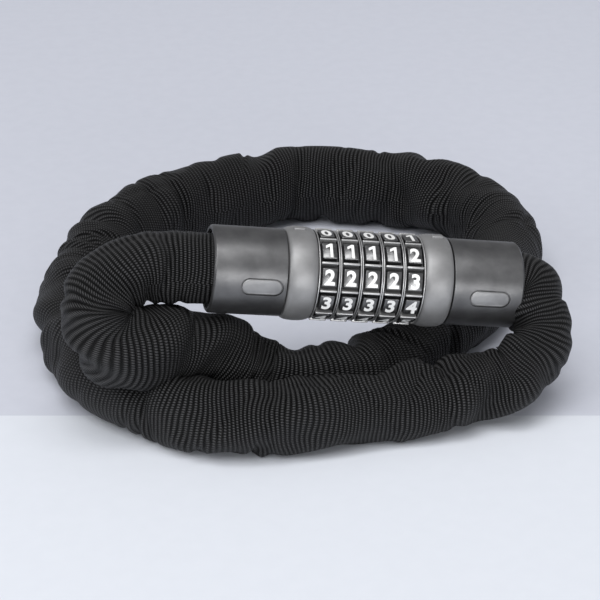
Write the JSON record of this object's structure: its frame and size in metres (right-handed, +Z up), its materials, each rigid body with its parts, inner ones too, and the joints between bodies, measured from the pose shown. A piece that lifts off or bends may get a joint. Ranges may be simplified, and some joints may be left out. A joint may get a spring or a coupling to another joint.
{
  "type": "combination chain lock",
  "caption": "Cylinder combination lock with numbered dials, closed on a steel chain that runs in a wrinkled black fabric sleeve, coiled up to lie flat.",
  "frame": {"origin": "middle of the coiled lock's bounding box, at floor level", "axes": "+Z up from the floor; the lock cylinder lies along X, tipped 8 degrees with its +X end lower; the dials' front faces -Y"},
  "size_m": [0.222, 0.2262, 0.0794],
  "materials": {
    "shell": "satin",
    "collar": "satin",
    "trim": "satin",
    "dial": "satin",
    "brass": "machined",
    "steel": "satin",
    "sleeve": "ribbed weave"
  },
  "bodies": {
    "barrel": {"left_end_shell": "shell", "left_collar": "collar", "right_collar": "collar", "left_inlay": "trim", "left_index_tab": "trim", "right_index_tab": "trim", "left_chain_pin": "steel", "left_clamp_ring": "steel", "core_tube": "steel", "sleeve": "sleeve", "sleeve_stretch": "sleeve", "chain_run_01": "steel", "chain_run_02": "steel", "chain_run_03": "steel", "chain_run_04": "steel", "chain_run_05": "steel", "chain_run_06": "steel", "chain_run_07": "steel", "chain_run_08": "steel", "chain_run_09": "steel"},
    "dial_1": {"dial_1": "dial", "code_ring_1": "brass"},
    "dial_2": {"dial_2": "dial", "code_ring_2": "brass"},
    "dial_3": {"dial_3": "dial", "code_ring_3": "brass"},
    "dial_4": {"dial_4": "dial", "code_ring_4": "brass"},
    "dial_5": {"dial_5": "dial", "code_ring_5": "brass"},
    "plug": {"right_end_shell": "shell", "bolt": "steel", "right_inlay": "trim", "right_chain_pin": "steel", "right_clamp_ring": "steel", "chain_run_10": "steel", "sleeve_plug_end": "sleeve"}
  },
  "joints": [
    {"name": "dial_1_turn", "type": "hinge", "parent": "barrel", "child": "dial_1", "pos_m": [0.0136, -0.0638, 0.05427], "axis": [0.9903, 0, -0.1392], "continuous": true},
    {"name": "dial_2_turn", "type": "hinge", "parent": "barrel", "child": "dial_2", "pos_m": [0.0136, -0.0638, 0.05427], "axis": [0.9903, 0, -0.1392], "continuous": true},
    {"name": "dial_3_turn", "type": "hinge", "parent": "barrel", "child": "dial_3", "pos_m": [0.0136, -0.0638, 0.05427], "axis": [0.9903, 0, -0.1392], "continuous": true},
    {"name": "dial_4_turn", "type": "hinge", "parent": "barrel", "child": "dial_4", "pos_m": [0.0136, -0.0638, 0.05427], "axis": [0.9903, 0, -0.1392], "continuous": true},
    {"name": "dial_5_turn", "type": "hinge", "parent": "barrel", "child": "dial_5", "pos_m": [0.0136, -0.0638, 0.05427], "axis": [0.9903, 0, -0.1392], "continuous": true},
    {"name": "plug_slide", "type": "slide", "parent": "barrel", "child": "plug", "axis": [0.9903, 0, -0.1392], "range_m": [0, 0.058], "deforming": ["sleeve_stretch", "chain_run_09"]}
  ]
}
